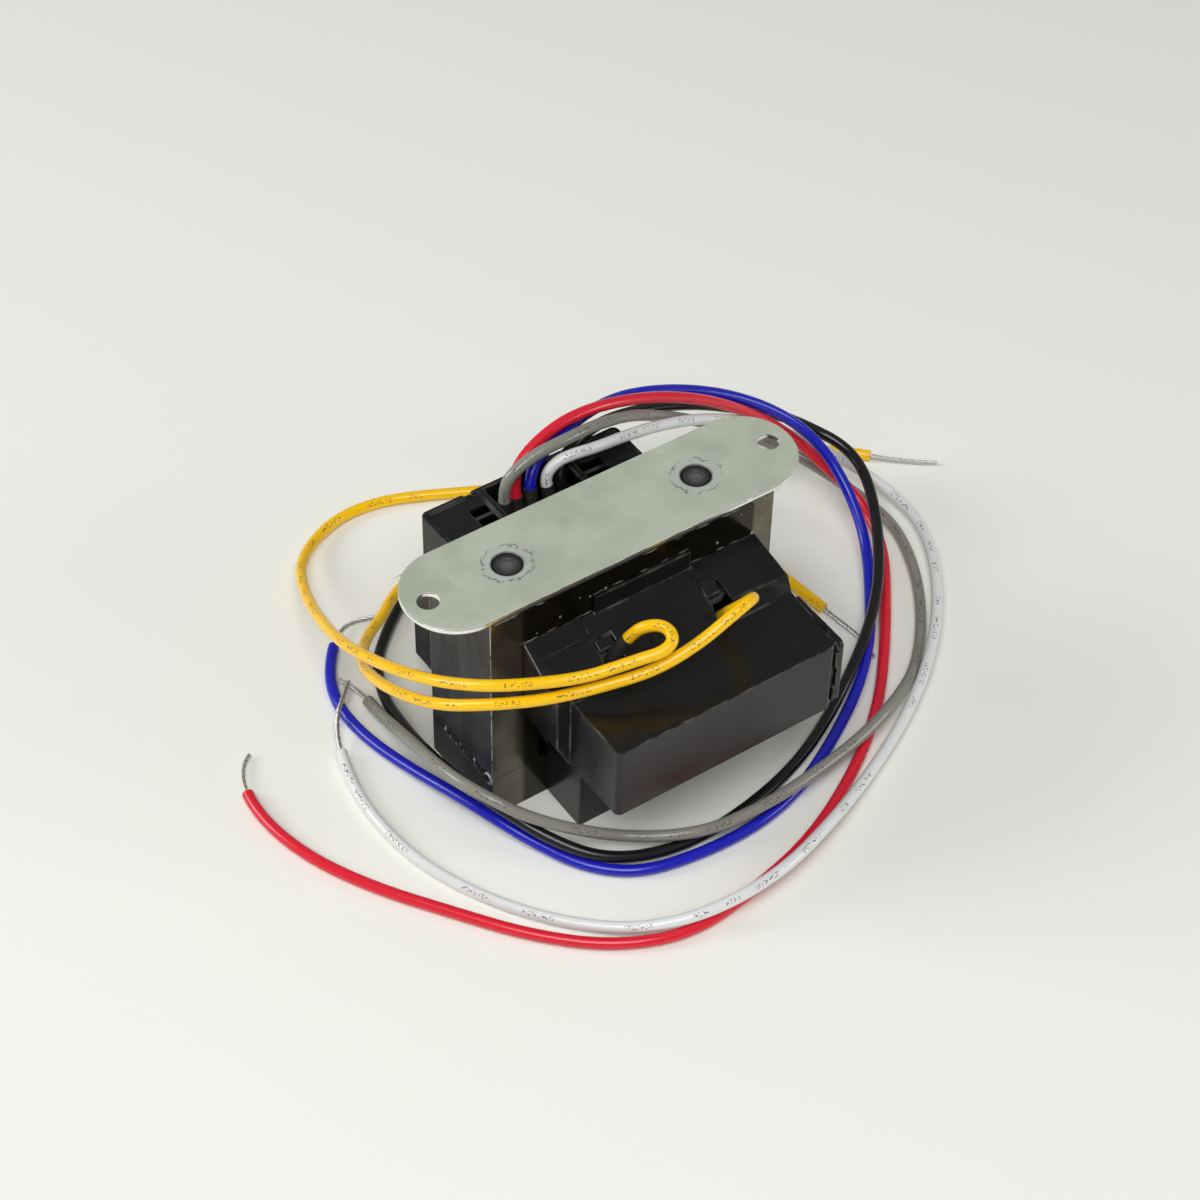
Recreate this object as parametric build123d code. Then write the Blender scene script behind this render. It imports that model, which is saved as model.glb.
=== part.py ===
from build123d import *
import math
import os

# Control transformer: a laminated iron core welded to a mounting plate, a coil on its
# middle leg, a moulded lead cover on each open side of the coil, and seven loose leads.
# Sizes are in millimetres. X runs along the mounting plate, Y from front to back, Z is up.
# The pieces are modelled about the core, with X = Y = 0 in its middle and Z = 0 at its foot.
# save() moves them so that the origin lies midway between the front and back covers.

# Iron core
limb = 12.7
centre_leg = 25.4
window_width = 12.7
window_height = 38.1
stack = 25.4
core_width = centre_leg + 2 * window_width + 2 * limb
core_height = window_height + 2 * limb
core_face = stack / 2

# Weld bead that closes the joint between the E and the I punchings
bead_width = 2.6
bead_height = 0.6
bead_drop = 0.5
bead_inset = 1.2
bead_blob = 0.45

# Mounting plate
plate_length = 102.6
plate_width = 25.4
plate_thickness = 1.5
mount_spacing = 91.5
mount_hole = 5.0
plug_spacing = 50.8
plug_diameter = 7.1
plug_recess = 0.25
plug_dish = 0.35
plug_clearance = 0.03

# Coil
bobbin_clearance = 0.3
bobbin_wall = 1.0
bobbin_foot = 0.4
bobbin_height = 34.3
flange_thickness = 1.2
flange_width = 43.4
flange_depth = 41.4
flange_corner = 4.0
layer_gap = 0.05
primary_build = 3.0
barrier_build = 0.35
secondary_build = 2.5
wrap_build = 0.35

# Front lead cover: two outer sections, each (depth out from the core, height), joined
# by straight lines, so that the ridge is bold at the right end and fades to the left
wall = 1.2
front_centre = 1.7
shroud_width = 62.8
shroud_depth = 13.6
cover_top = 53.3
left_ridge = (7.3, 49.0)
left_foot = (14.3, 44.6)
right_ridge = (13.3, 50.7)
right_foot = (14.9, 46.7)
box_depth = 32.1
box_top = 44.4
box_bottom = 23.7
box_step = 3.6
step_chamfer = 7.3
block_width = 49.8
block_depth = 13.3
tab_left = 11.2
tab_right = 14.7
tab_height = 4.7
tab_thickness = 1.0
left_port = (-15.2, -10.4, 5.8, 12.3)
right_port = (13.5, 18.3, 5.9, 14.3)
tongue_length = 2.5
tongue_drop = 2.0
tongue_thickness = 1.0
tongue_gap = 0.3
corner_radius = 1.6

# End cap of the front lead cover
cap_gap = 0.6
cap_thickness = 1.5
cap_rear_depth = 14.8
cap_foot = 25.0
cap_clearance = 0.2
cap_lip = 1.0
cap_lip_wall = 1.0
cap_slot_rear = 18.3
cap_slot_front = 27.7
cap_front_slot = (29.9, 36.5)
cap_notch = (41.2, 42.2)

# Back lead cover
back_left = 26.6
back_right = 27.6
back_depth = 22.2
back_top = 52.5
back_foot = 8.7
deck_recess = 0.7
skirt_top = 36.0
skirt_step = 3.1
rib_width = 1.7
left_rib = -10.7
right_rib = 11.5
rib_front = 10.9
opening_front = 10.9
left_slot = (-16.3, -11.7, 11.3, 17.3)
right_slot = (12.8, 19.0, 10.3, 16.3)
finger_width = 0.9
edge_notch = (-15.0, -13.0, 0.8)

# Leads and their sleeves
lead_diameter = 2.8
strand_diameter = 1.2
sleeve_diameter = 3.4

# Midway between the fronts of the two covers, along Y
cover_middle = (back_depth - box_depth) / 2

# Each lead is one route: first the points of its sleeve, then those of the lead itself,
# then those of its bare strands. The pieces meet halfway along the runs between them.
# Sleeves of the primary leads lie against the back of the coil and lean out to the opening.
# Those of the two yellow secondary leads lie against its front and rise to the ports.
sleeve_points = {
    "grey": [(-9.3, 22.2, 26.0), (-9.3, 22.2, 35.0), (-8.6, 25.0, 42.0), (-7.9, 27.7, 49.3)],
    "red": [(-5.4, 22.2, 26.0), (-5.4, 22.2, 35.0), (-4.9, 25.0, 42.0), (-4.4, 28.2, 48.9)],
    "blue": [(-1.2, 22.2, 26.0), (-1.2, 22.2, 35.0), (-1.0, 25.0, 42.0), (-0.7, 28.0, 48.9)],
    "white": [(3.2, 22.2, 28.0), (3.2, 22.2, 37.0), (3.5, 25.0, 43.5), (3.6, 27.0, 49.6)],
    "black": [(7.8, 22.2, 26.0), (7.8, 22.2, 35.0), (7.8, 25.0, 42.0)],
    "yellow_left": [
        (-13.0, -22.2, 30.0), (-13.0, -22.2, 39.0), (-12.8, -22.7, 47.5), (-11.6, -24.1, 52.2),
    ],
    "yellow_right": [(15.6, -22.2, 28.0), (15.6, -22.2, 37.0), (15.7, -23.2, 43.6)],
}

lead_points = {
    "grey": [
        (-7.8, 28.5, 54.6), (-6.2, 28.2, 59.2), (0.5, 28.0, 62.5), (8.0, 27.5, 63.3),
        (18.5, 29.5, 61.5), (30.8, 32.8, 55.8), (43.8, 36.2, 46.2), (60.0, 39.5, 33.0),
        (74.0, 39.0, 21.5), (85.5, 36.0, 12.0), (93.0, 29.0, 5.0), (96.5, 20.5, 2.5),
        (97.5, 9.5, 1.5), (92.4, -4.3, 1.5), (83.8, -18.0, 1.5), (72.5, -30.2, 1.5),
        (59.7, -38.7, 5.5), (47.0, -43.0, 5.0), (34.5, -45.5, 5.0), (22.0, -47.5, 5.5),
        (11.0, -48.0, 5.5), (0.0, -47.0, 5.0), (-9.5, -43.5, 5.0), (-18.0, -37.0, 4.0),
        (-28.0, -31.5, 7.5), (-37.0, -25.5, 12.0), (-43.0, -19.0, 16.0), (-46.5, -9.0, 16.0),
        (-46.5, 5.5, 12.0), (-45.5, 18.5, 7.0), (-44.4, 28.5, 2.6),
    ],
    "red": [
        (-4.3, 29.3, 53.5), (-3.0, 31.0, 57.0), (3.0, 33.0, 60.0), (13.0, 34.5, 62.0),
        (25.5, 35.0, 60.5), (41.5, 36.0, 54.0), (58.0, 37.0, 43.5), (73.0, 37.5, 30.5),
        (83.5, 34.5, 19.5), (88.0, 27.5, 13.0), (91.5, 21.0, 8.5), (91.5, 12.0, 5.0),
        (88.0, 2.5, 2.5), (79.5, -9.0, 1.5), (69.0, -22.0, 1.5), (56.1, -35.9, 1.5),
        (40.3, -47.9, 1.5), (19.4, -59.0, 1.5), (-0.5, -64.0, 1.5), (-20.5, -66.5, 1.5),
        (-37.0, -59.5, 1.5), (-50.5, -46.8, 1.5), (-61.4, -31.7, 1.5), (-72.4, -16.0, 1.5),
        (-80.2, 0.0, 1.5), (-83.3, 16.3, 1.5),
    ],
    "blue": [
        (0.2, 29.8, 54.0), (4.2, 31.8, 57.0), (10.5, 33.6, 58.2), (20.0, 37.2, 57.8),
        (33.0, 41.5, 54.0), (47.0, 42.5, 48.5), (61.5, 42.0, 41.0), (73.5, 39.0, 33.5),
        (82.5, 34.5, 26.0), (87.0, 27.5, 19.5), (88.0, 20.0, 13.5), (86.5, 11.5, 9.0),
        (83.5, 4.0, 5.0), (76.0, -7.0, 3.5), (67.0, -18.5, 3.0), (55.0, -29.5, 3.0),
        (42.0, -37.5, 1.5), (25.5, -46.0, 1.5), (10.0, -49.5, 1.5), (-5.5, -49.0, 1.5),
        (-20.0, -46.0, 1.5), (-29.5, -37.5, 1.5), (-35.5, -26.0, 2.5), (-40.5, -16.0, 5.0),
        (-43.5, -5.5, 4.5), (-47.0, 8.0, 2.5), (-50.0, 21.0, 1.5), (-51.0, 32.5, 1.5),
        (-49.0, 41.5, 1.5), (-44.6, 49.0, 1.5),
    ],
    "white": [
        (3.2, 28.0, 54.2), (6.2, 27.9, 57.2), (9.9, 26.8, 58.5), (16.2, 26.2, 57.9),
        (26.1, 27.9, 55.4), (41.0, 32.0, 48.6), (57.0, 35.5, 39.5), (73.5, 39.5, 26.5),
        (87.0, 38.5, 15.5), (95.0, 34.0, 9.0), (100.5, 26.0, 5.5), (103.0, 17.5, 3.5),
        (103.0, 7.5, 2.5), (98.0, -4.5, 3.0), (89.0, -17.5, 3.5), (77.5, -29.5, 3.5),
        (63.0, -40.5, 3.0), (43.5, -51.0, 2.5), (22.5, -60.5, 5.0), (4.5, -66.0, 5.5),
        (-14.5, -66.5, 5.5), (-28.8, -60.4, 2.7), (-40.5, -50.0, 1.5), (-50.5, -37.0, 1.5),
        (-57.5, -23.0, 1.5), (-61.0, -9.5, 1.5), (-61.5, 5.5, 1.5), (-59.2, 17.5, 1.5),
    ],
    "black": [
        (7.8, 27.4, 47.4), (8.2, 29.0, 51.6), (10.2, 30.8, 54.4), (15.0, 32.6, 55.6),
        (22.5, 34.6, 55.8), (31.5, 36.2, 53.3), (43.5, 39.5, 47.0), (58.5, 42.5, 38.0),
        (71.9, 42.5, 29.5), (82.9, 41.4, 23.0), (90.2, 37.0, 18.0), (95.0, 29.5, 15.5),
        (95.0, 21.0, 13.5), (90.5, 10.5, 11.0), (84.5, 1.0, 8.5), (76.5, -9.0, 7.5),
        (66.5, -18.0, 6.5), (56.5, -25.0, 5.5), (45.5, -31.5, 2.5), (31.5, -38.5, 1.5),
        (16.5, -43.0, 1.5), (-0.5, -45.2, 1.5), (-14.3, -43.7, 1.8), (-25.8, -38.8, 3.3),
        (-33.6, -29.8, 6.0), (-39.0, -19.9, 9.5), (-43.5, -9.9, 12.0), (-44.4, 4.0, 9.5),
        (-42.7, 18.7, 5.0), (-40.5, 31.5, 2.0), (-36.0, 42.0, 1.5), (-28.5, 49.5, 1.5),
        (-20.5, 56.0, 1.5),
    ],
    "yellow_left": [
        (-9.3, -26.4, 57.6), (-7.5, -28.4, 59.6), (-5.3, -30.8, 60.0), (-5.2, -34.3, 59.0),
        (-8.5, -34.4, 58.0), (-12.6, -33.1, 57.0), (-17.7, -31.5, 55.6), (-24.5, -28.5, 53.5),
        (-33.5, -22.0, 51.0), (-41.0, -14.0, 47.5), (-47.0, -2.0, 42.0), (-50.0, 14.0, 34.5),
        (-50.0, 33.5, 24.5), (-45.0, 56.0, 13.5), (-38.0, 75.0, 6.0), (-29.5, 84.5, 2.5),
        (-18.5, 90.0, 1.5), (-6.5, 89.5, 1.5), (5.5, 84.5, 1.5), (17.0, 78.5, 1.5),
        (33.0, 70.5, 1.5), (52.0, 60.0, 1.5), (72.0, 53.0, 1.5), (89.0, 49.0, 1.5),
        (102.5, 40.5, 1.5),
    ],
    "yellow_right": [
        (15.8, -25.8, 48.0), (14.7, -28.7, 52.0), (15.9, -31.0, 55.0), (17.8, -33.0, 58.4),
        (14.4, -36.2, 62.2), (9.1, -37.0, 61.4), (0.5, -36.7, 57.0), (-10.0, -35.0, 53.0),
        (-21.5, -30.5, 50.5), (-31.5, -24.5, 47.0), (-40.5, -16.0, 43.0), (-47.5, -5.0, 37.0),
        (-49.5, 9.0, 29.5), (-48.5, 24.0, 21.5), (-44.0, 35.0, 15.0), (-37.5, 43.0, 11.0),
        (-30.5, 48.0, 9.0), (-22.5, 55.0, 7.0), (-12.5, 60.0, 5.2), (3.5, 61.5, 2.0),
        (21.0, 60.0, 1.5), (39.0, 54.0, 1.5), (54.0, 42.0, 1.5), (61.5, 25.0, 1.5),
        (64.2, 4.0, 1.5),
    ],
}

strand_points = {
    "grey": [(-43.8, 36.5, 1.2), (-46.0, 42.5, 1.2)],
    "red": [(-80.6, 30.5, 1.4), (-75.5, 34.0, 0.8)],
    "blue": [(-38.4, 56.0, 1.4), (-32.5, 57.6, 1.0), (-27.0, 55.5, 0.8)],
    "white": [(-56.2, 26.5, 2.6), (-53.2, 31.0, 4.4), (-49.5, 34.6, 4.5), (-45.4, 39.0, 3.4)],
    "black": [(-8.5, 65.5, 1.4), (-2.0, 67.5, 0.8)],
    "yellow_left": [(114.0, 27.5, 1.4), (121.5, 23.0, 0.8)],
    "yellow_right": [(65.8, -9.5, 1.4), (67.0, -16.0, 0.9), (65.6, -22.0, 0.7)],
}


def block(x_range, y_range, z_range):
    """A box between two values along each axis."""
    low = Vector(x_range[0], y_range[0], z_range[0])
    high = Vector(x_range[1], y_range[1], z_range[1])
    size = high - low
    return Pos(low) * Box(size.X, size.Y, size.Z, align=(Align.MIN, Align.MIN, Align.MIN))


def bend_radii(points):
    """The largest arc that the two runs at each corner leave room for."""
    radii = []
    for before, corner, after in zip(points, points[1:], points[2:]):
        run_in = Vector(corner) - Vector(before)
        run_out = Vector(after) - Vector(corner)
        half_turn = math.radians(run_in.get_angle(run_out)) / 2
        shorter = min(run_in.length, run_out.length)
        radii.append(0.45 * shorter / math.tan(half_turn))
    return radii


def stretch(points, first, last):
    """The arcs of one stretch of a route, cut halfway along the runs at its two ends."""
    radii = bend_radii(points)
    chain = list(points[first:last])
    if first > 0:
        chain.insert(0, (Vector(points[first - 1]) + Vector(points[first])) / 2)
    if last < len(points):
        chain.append((Vector(points[last - 1]) + Vector(points[last])) / 2)
    corners = radii[max(first, 1) - 1 : min(last, len(points) - 1) - 1]
    return FilletPolyline(*chain, radius=corners), corners


def bent_rod(path, diameter):
    """A round rod along a path of straight runs and arcs."""
    start = Plane(origin=path @ 0, z_dir=path % 0)
    return sweep(start * Circle(diameter / 2), path=path)


def e_laminations():
    """The stack of E punchings, with its back on top and its legs down."""
    low = limb
    body = block((-core_width / 2, core_width / 2), (-core_face, core_face), (low, core_height))
    for side in (-1, 1):
        middle = side * (centre_leg + window_width) / 2
        window = block(
            (middle - window_width / 2, middle + window_width / 2),
            (-core_face, core_face),
            (low, low + window_height),
        )
        body -= window
    return body


def i_laminations():
    """The stack of I punchings that closes the core at its foot."""
    return block((-core_width / 2, core_width / 2), (-core_face, core_face), (0, limb))


def seam_weld(side):
    """One bead along the joint on an end face, with a blob where the welding started."""
    radius = (bead_width**2 / 4 + bead_height**2) / (2 * bead_height)
    centre_x = core_width / 2 + bead_height - radius
    half_length = core_face - bead_inset - bead_width / 2
    rod = Rot(90, 0, 0) * Cylinder(radius, 2 * half_length)
    for end in (-1, 1):
        rod += Pos(0, end * half_length, 0) * Sphere(radius)
    rod += Pos(bead_blob / 2, -half_length, 0) * Sphere(radius + bead_blob / 2)
    bead = Pos(centre_x, 0, limb - bead_drop) * rod
    bead -= block(
        (0, core_width / 2), (-core_face, core_face), (limb - centre_leg, limb + centre_leg)
    )
    return bead if side > 0 else mirror(bead, about=Plane.YZ)


def mounting_plate():
    """A plate with round ends, two mounting holes and two holes for the plug welds."""
    outline = SlotOverall(plate_length, plate_width)
    for side in (-1, 1):
        outline -= Pos(side * mount_spacing / 2, 0) * Circle(mount_hole / 2)
        outline -= Pos(side * plug_spacing / 2, 0) * Circle(plug_diameter / 2)
    return Pos(0, 0, core_height) * extrude(outline, plate_thickness)


def plug_weld():
    """The weld metal in one hole of the plate, sunk a little and dished in the middle."""
    radius = plug_diameter / 2 - plug_clearance
    top = plate_thickness - plug_recess
    dish = ThreePointArc((0, top - plug_dish), (radius / 2, top - 0.75 * plug_dish), (radius, top))
    outline = dish + Polyline((radius, top), (radius, 0), (0, 0), (0, top - plug_dish))
    section = Plane.XZ * make_face(outline)
    return Pos(0, 0, core_height) * revolve(section, axis=Axis.Z)


def both_sides(piece, spacing):
    """The same piece twice, as separate solids, a spacing apart along X."""
    return [Pos(side * spacing / 2, 0, 0) * piece for side in (-1, 1)]


def layer(inner, outer, foot, height):
    """One rectangular layer round the middle leg, with rounded corners."""
    ring = RectangleRounded(outer[0], outer[1], outer[2])
    ring -= RectangleRounded(inner[0], inner[1], inner[2])
    return Pos(0, 0, foot) * extrude(ring, height)


def grown(size, build):
    """The outline of a layer after it has grown by a build on every side."""
    return (size[0] + 2 * build, size[1] + 2 * build, size[2] + build)


bore = (centre_leg + 2 * bobbin_clearance, stack + 2 * bobbin_clearance, 0.3)
tube_outline = grown(bore, bobbin_wall)
primary_inside = grown(tube_outline, layer_gap)
primary_outside = grown(primary_inside, primary_build)
barrier_inside = grown(primary_outside, layer_gap)
barrier_outside = grown(barrier_inside, barrier_build)
secondary_inside = grown(barrier_outside, layer_gap)
secondary_outside = grown(secondary_inside, secondary_build)
wrap_inside = grown(secondary_outside, layer_gap)
wrap_outside = grown(wrap_inside, wrap_build)
bobbin_low = limb + bobbin_foot
coil_low = bobbin_low + flange_thickness + layer_gap
coil_height = bobbin_height - 2 * flange_thickness - 2 * layer_gap


def bobbin():
    """A moulded tube round the middle leg with a flange at each end."""
    body = layer(bore, tube_outline, bobbin_low, bobbin_height)
    flange = (flange_width, flange_depth, flange_corner)
    for foot in (bobbin_low, bobbin_low + bobbin_height - flange_thickness):
        body += layer(bore, flange, foot, flange_thickness)
    return body


def inset(points, distance):
    """A closed outline, listed clockwise, moved in by a distance on every side."""
    moved = []
    count = len(points)
    for index in range(count):
        before, corner, after = points[index - 1], points[index], points[(index + 1) % count]
        normals = []
        for start, end in ((before, corner), (corner, after)):
            along = Vector(end[0] - start[0], end[1] - start[1]).normalized()
            normals.append(Vector(along.Y, -along.X))
        split = 1 + normals[0].dot(normals[1])
        shift = (normals[0] + normals[1]) * (distance / split)
        moved.append((corner[0] + shift.X, corner[1] + shift.Y))
    return moved


def front_section(ridge, foot, open_by=0):
    """The front cover's section as (depth, height), clockwise from its lower back corner."""
    slope = (cover_top - ridge[1]) / ridge[0]
    top = (-open_by, cover_top + slope * open_by)
    return [(-open_by, box_bottom), top, ridge, foot, (box_depth, box_top), (box_depth, box_bottom)]


def between_sections(left_x, left_points, right_x, right_points):
    """Straight-sided body between a section at each end."""
    faces = []
    for x, points in ((left_x, left_points), (right_x, right_points)):
        corners = [(-core_face - depth, height) for depth, height in points]
        faces.append(Plane.YZ.offset(x) * make_face(Polyline(*corners, close=True)))
    return loft(faces, ruled=True)


shroud_left = front_centre - shroud_width / 2
shroud_right = front_centre + shroud_width / 2
block_left = front_centre - block_width / 2
block_right = front_centre + block_width / 2
box_left = shroud_left + box_step
box_front = -core_face - box_depth


def roof_height(x, depth):
    """Height of the outside of the roof, behind its ridge, at a place on the front cover."""
    across = (x - shroud_left) / shroud_width
    ridge_depth = left_ridge[0] + across * (right_ridge[0] - left_ridge[0])
    ridge_height = left_ridge[1] + across * (right_ridge[1] - left_ridge[1])
    return cover_top - (cover_top - ridge_height) * depth / ridge_depth


def front_outside():
    """The outside of the front cover, before it is hollowed."""
    body = between_sections(
        shroud_left, front_section(left_ridge, left_foot),
        shroud_right, front_section(right_ridge, right_foot),
    )
    body -= block(
        (shroud_left - wall, box_left),
        (box_front - wall, -core_face - shroud_depth),
        (box_bottom - wall, cover_top),
    )
    corner = Polyline(
        (shroud_left, box_bottom), (shroud_left, box_bottom + step_chamfer),
        (box_left, box_bottom), close=True,
    )
    body -= extrude(Plane.XZ * make_face(corner), amount=box_depth + core_face)
    front_left = body.edges().filter_by(Axis.Z).sort_by(Axis.Y)
    body = fillet([front_left[0], front_left[1]], corner_radius)
    body += block(
        (block_left, block_right), (-core_face - block_depth, -core_face), (0, box_bottom + wall)
    )
    return body


def front_inside():
    """The hollow of the front cover, open towards the core."""
    open_by = 2 * wall
    hollow = between_sections(
        shroud_left + wall, inset(front_section(left_ridge, left_foot, open_by), wall),
        shroud_right - wall, inset(front_section(right_ridge, right_foot, open_by), wall),
    )
    hollow -= block(
        (shroud_left, box_left + wall),
        (box_front, -core_face - shroud_depth + wall),
        (box_bottom, cover_top),
    )
    hollow -= block(
        (shroud_left, box_left + wall), (box_front, open_by), (box_bottom, box_bottom + step_chamfer)
    )
    hollow += block(
        (block_left + wall, block_right - wall),
        (-core_face - block_depth + wall, open_by - core_face),
        (wall, box_bottom + 2 * wall),
    )
    return hollow


cap_rear = -core_face - cap_rear_depth
window_rear = cap_rear - wall
window_front = box_front + wall
window_low = box_bottom + wall
window_high = box_top - wall


def port_cut(port):
    """The hole of one lead port through the roof."""
    return block(
        (port[0], port[1]), (-core_face - port[3], -core_face - port[2]), (box_top - wall, cover_top)
    )


def port_tongue(port):
    """The tongue that slopes down into a port from its rear edge."""
    top = roof_height((port[0] + port[1]) / 2, port[2] - wall)
    rear = -core_face - port[2] + wall
    front = rear - wall - tongue_length
    side = Polyline(
        (rear, top), (rear, top - tongue_thickness),
        (front, top - tongue_thickness - tongue_drop), (front, top - tongue_drop), close=True,
    )
    width = port[1] - port[0] - 2 * tongue_gap
    return extrude(Plane.YZ.offset(port[0] + tongue_gap) * make_face(side), amount=width)


def front_cover():
    """Moulded cover of the secondary leads, one thin-walled piece open towards the core."""
    body = front_outside() - front_inside()
    for port in (left_port, right_port):
        body -= port_cut(port)
        body += port_tongue(port)
    body -= block(
        (shroud_right - 2 * wall, shroud_right + wall),
        (window_front, window_rear),
        (window_low, window_high),
    )
    body += block(
        (-tab_left, tab_right),
        (-core_face - tab_thickness, -core_face),
        (cover_top - wall, cover_top + tab_height),
    )
    return body


def lead_box_cap():
    """End plate of the front cover, held off its rim by raised edges, with a lip inside."""
    inner = shroud_right + cap_gap
    outer = inner + cap_thickness
    plate = block((shroud_right, outer), (box_front, cap_rear), (cap_foot, box_top))
    corners = plate.edges().filter_by(Axis.X).group_by(Axis.Y)[0]
    plate = fillet(corners, corner_radius)
    gap = (shroud_right, inner)
    slot_y = (-core_face - cap_slot_front, -core_face - cap_slot_rear)
    plate -= block(gap, slot_y, (window_high, box_top))
    for low, high in (cap_front_slot, cap_notch):
        plate -= block(gap, (box_front, window_front), (low, high))
    plate -= block(gap, (window_front, window_rear), (window_low, window_high))
    lip_y = (window_front + cap_clearance, window_rear - cap_clearance)
    lip_z = (window_low + cap_clearance, window_high - cap_clearance)
    lip = block((shroud_right - cap_lip, inner), lip_y, lip_z)
    lip -= block(
        (shroud_right - 2 * cap_lip, inner),
        (lip_y[0] + cap_lip_wall, lip_y[1] - cap_lip_wall),
        (lip_z[0] + cap_lip_wall, lip_z[1] - cap_lip_wall),
    )
    return plate + lip


back_rear = core_face + back_depth
deck_top = back_top - deck_recess
skirt_left = -back_left - skirt_step
skirt_right = back_right + skirt_step


def back_cover():
    """Moulded cover of the primary leads, open towards the core and in its deck."""
    body = block((-back_left, back_right), (core_face, back_rear), (back_foot, back_top))
    body += block((skirt_left, skirt_right), (core_face, back_rear), (back_foot, skirt_top))
    upright = body.edges().filter_by(Axis.Z).group_by(Axis.Y)[-1]
    body = fillet(upright, corner_radius)
    body -= block(
        (wall - back_left, back_right - wall), (core_face, back_rear - wall),
        (back_foot + wall, deck_top - wall),
    )
    body -= block(
        (skirt_left + wall, skirt_right - wall), (core_face, back_rear - wall),
        (back_foot + wall, skirt_top - wall),
    )
    rear_inside = back_rear - wall
    body -= block((wall - back_left, back_right - wall), (core_face, rear_inside), (deck_top, back_top))
    opening = (left_rib + rib_width / 2, right_rib - rib_width / 2)
    body -= block(opening, (core_face + opening_front, rear_inside), (deck_top - 2 * wall, back_top))
    for low, high, front, rear in (left_slot, right_slot):
        slot_y = (core_face + front, core_face + rear)
        body -= block((low, high), slot_y, (deck_top - 2 * wall, back_top))
        middle = (slot_y[0] + slot_y[1]) / 2
        finger_y = (middle - finger_width / 2, middle + finger_width / 2)
        body += block((low, high), finger_y, (deck_top - wall, deck_top))
    for centre in (left_rib, right_rib):
        body += block(
            (centre - rib_width / 2, centre + rib_width / 2),
            (core_face + rib_front, rear_inside),
            (deck_top - wall, back_top),
        )
    notch_left, notch_right, notch_depth = edge_notch
    body -= block(
        (notch_left, notch_right), (rear_inside, back_rear + wall), (back_top - notch_depth, back_top)
    )
    return body


def save(name, solids):
    """Write one node, moved to the origin midway between the two covers."""
    moved = [Pos(0, -cover_middle, 0) * solid for solid in solids]
    piece = moved[0] if len(moved) == 1 else Compound(children=moved)
    export_step(piece, f"parts/{name}.step")


def save_cords():
    """Write each lead and its strands, and print their bends and lengths. Returns the sleeves."""
    sleeves = {}
    for colour, lead in lead_points.items():
        route = sleeve_points[colour] + lead + strand_points[colour]
        lead_start = len(sleeve_points[colour])
        lead_end = lead_start + len(lead)
        sleeves[colour] = bent_rod(stretch(route, 0, lead_start)[0], sleeve_diameter)
        for name, first, last, diameter in (
            ("lead", lead_start, lead_end, lead_diameter),
            ("strands", lead_end, len(route), strand_diameter),
        ):
            path, radii = stretch(route, first, last)
            rod = bent_rod(path, diameter)
            length = rod.volume / (math.pi * diameter**2 / 4)
            bends = ", ".join(f"{radius:.1f}" for radius in radii)
            print(f"{name}_{colour}: length {path.length:.1f}, by volume {length:.1f}, radii {bends}")
            save(f"{name}_{colour}", [rod])
    return sleeves


def main():
    os.makedirs("parts", exist_ok=True)
    save("e_laminations", [e_laminations()])
    save("i_laminations", [i_laminations()])
    save("seam_welds", [seam_weld(-1), seam_weld(1)])
    save("mounting_plate", [mounting_plate()])
    save("plug_welds", both_sides(plug_weld(), plug_spacing))
    save("bobbin", [bobbin()])
    save("primary_winding", [layer(primary_inside, primary_outside, coil_low, coil_height)])
    save("winding_barrier", [layer(barrier_inside, barrier_outside, coil_low, coil_height)])
    save("secondary_winding", [layer(secondary_inside, secondary_outside, coil_low, coil_height)])
    save("outer_wrap", [layer(wrap_inside, wrap_outside, coil_low, coil_height)])
    save("front_cover", [front_cover()])
    save("lead_box_cap", [lead_box_cap()])
    save("back_cover", [back_cover()])
    sleeves = save_cords()
    secondary = [sleeves.pop(colour) for colour in ("yellow_left", "yellow_right")]
    save("primary_lead_sleeves", list(sleeves.values()))
    save("secondary_lead_sleeves", secondary)


main()
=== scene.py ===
"""Looks of a control transformer: finishes, loose leads and bare wire ends on its modelled frame."""

import math

import bmesh
import bpy
import numpy as np
from bpy.props import FloatProperty, FloatVectorProperty, IntProperty, PointerProperty
from mathutils import Matrix, Vector


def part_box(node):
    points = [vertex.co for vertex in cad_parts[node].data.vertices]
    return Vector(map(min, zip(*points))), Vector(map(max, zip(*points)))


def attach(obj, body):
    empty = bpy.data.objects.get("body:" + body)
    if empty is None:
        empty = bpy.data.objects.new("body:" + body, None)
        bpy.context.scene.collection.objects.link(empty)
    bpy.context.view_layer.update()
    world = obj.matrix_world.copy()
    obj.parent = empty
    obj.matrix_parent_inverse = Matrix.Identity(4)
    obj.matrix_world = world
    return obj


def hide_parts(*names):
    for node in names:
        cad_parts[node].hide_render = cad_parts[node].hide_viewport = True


bl_info = {
    "name": "Control Transformer",
    "version": (1, 0, 0),
    "blender": (4, 5, 0),
    "location": "View3D > Sidebar > Transformer",
    "description": "Dresses a laminated-core control transformer and lays its loose leads",
    "category": "Object",
}

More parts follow.
